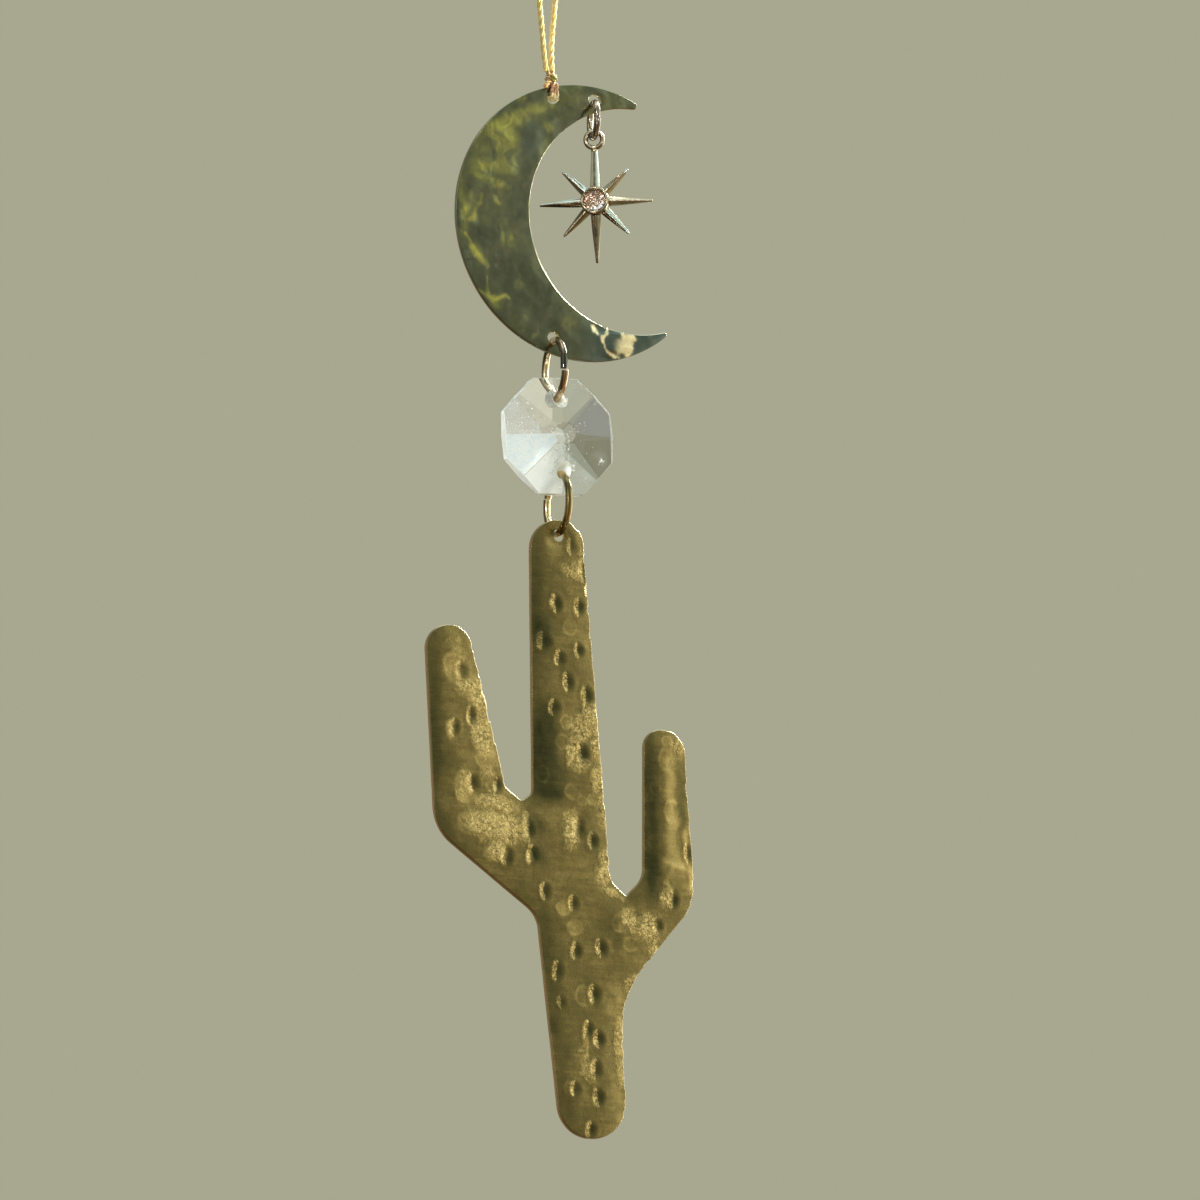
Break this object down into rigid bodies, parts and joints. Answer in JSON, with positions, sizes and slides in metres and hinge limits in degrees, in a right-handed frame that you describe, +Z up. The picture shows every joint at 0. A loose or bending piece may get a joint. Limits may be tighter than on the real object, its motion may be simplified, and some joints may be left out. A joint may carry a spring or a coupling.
{
  "type": "suncatcher",
  "caption": "Hanging suncatcher: hammered brass crescent moon framing a small star charm, a faceted clear glass octagon below it and a hammered brass cactus at the foot, on a thread loop.",
  "frame": {"origin": "inside of the thread loop at its top, where a hook, pin or suction cup carries it", "axes": "+Z up along the hanging chain; the crescent and the cactus lie in the XZ plane with their fronts towards -Y; +X is the side the crescent opens to"},
  "size_m": [0.0351, 0.0083, 0.1529],
  "materials": {
    "moon_brass": "polished, softly hammered",
    "cactus_brass": "satin, hammered and punched with small oval dents",
    "ring_metal": "bright drawn wire",
    "charm_metal": "polished, darkened in the recesses",
    "stone_glass": "round brilliant cut, pale champagne",
    "clear_glass": "clear, cut with flat facets",
    "gold_thread": "twisted metallic thread"
  },
  "bodies": {
    "root": {"thread_loop": "gold_thread", "thread_knot": "gold_thread", "thread_bight": "gold_thread", "moon_crescent": "moon_brass", "star_ring": "ring_metal", "star_charm": "charm_metal", "star_stone": "stone_glass", "upper_ring": "ring_metal", "crystal_octagon": "clear_glass", "lower_ring": "ring_metal", "cactus": "cactus_brass"}
  },
  "joints": []
}
